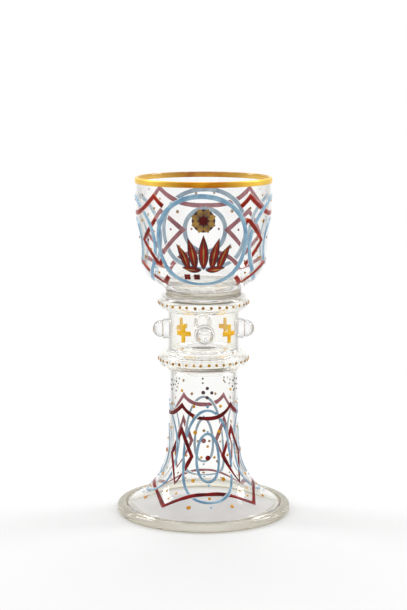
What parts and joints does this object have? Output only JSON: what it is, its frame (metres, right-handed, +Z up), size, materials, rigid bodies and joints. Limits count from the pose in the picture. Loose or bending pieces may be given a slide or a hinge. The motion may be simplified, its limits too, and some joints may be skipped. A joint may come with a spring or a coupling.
{
  "type": "goblet",
  "caption": "Footed drinking goblet in clear glass: near-cylindrical bowl, hollow collared stem with prunts, and a trumpet foot with a folded rim; enamelled and gilt.",
  "frame": {"origin": "centre of the ring that the foot stands on", "axes": "+Z up along the goblet's axis, -Y towards the front of the bowl"},
  "size_m": [0.1036, 0.1036, 0.2],
  "materials": {
    "clear_glass": "clear, fire-polished",
    "rim_glass": "clear with a faint olive tint, fire-polished",
    "gilding": "fired gilding, slightly worn",
    "amber_enamel": "raised vitreous enamel, glossy",
    "blue_enamel": "raised vitreous enamel, glossy",
    "red_enamel": "raised vitreous enamel, glossy"
  },
  "bodies": {
    "root": {"bowl": "clear_glass", "gilt_lip_band": "gilding", "merese": "clear_glass", "upper_collar": "clear_glass", "stem_drum": "clear_glass", "lower_collar": "clear_glass", "stem_diaphragm": "clear_glass", "joint_wafer": "clear_glass", "trumpet_foot": "clear_glass", "foot_rim": "rim_glass", "prunt_pad_front": "clear_glass", "prunt_pad_right": "clear_glass", "prunt_pad_back": "clear_glass", "prunt_pad_left": "clear_glass", "prunt_boss_front": "clear_glass", "prunt_boss_right": "clear_glass", "prunt_boss_back": "clear_glass", "prunt_boss_left": "clear_glass", "enamel_cross_1": "amber_enamel", "enamel_cross_2": "amber_enamel", "enamel_cross_3": "amber_enamel", "enamel_cross_4": "amber_enamel", "bowl_ring_front": "blue_enamel", "bowl_ring_right": "blue_enamel", "bowl_ring_back": "blue_enamel", "bowl_ring_left": "blue_enamel", "bowl_small_ring_right": "blue_enamel", "bowl_small_ring_back": "blue_enamel", "bowl_small_ring_left": "blue_enamel", "bowl_festoons": "red_enamel", "bowl_arches": "red_enamel", "bowl_lozenge_1": "red_enamel", "bowl_lozenge_2": "red_enamel", "bowl_lozenge_3": "red_enamel", "bowl_lozenge_4": "red_enamel", "foot_loop_front": "blue_enamel", "foot_small_loop_front": "blue_enamel", "foot_loop_right": "blue_enamel", "foot_small_loop_right": "blue_enamel", "foot_loop_back": "blue_enamel", "foot_small_loop_back": "blue_enamel", "foot_loop_left": "blue_enamel", "foot_small_loop_left": "blue_enamel", "foot_festoons": "red_enamel", "foot_arches": "red_enamel", "foot_lozenge_1": "red_enamel", "foot_lozenge_2": "red_enamel", "foot_lozenge_3": "red_enamel", "foot_lozenge_4": "red_enamel"}
  },
  "joints": []
}
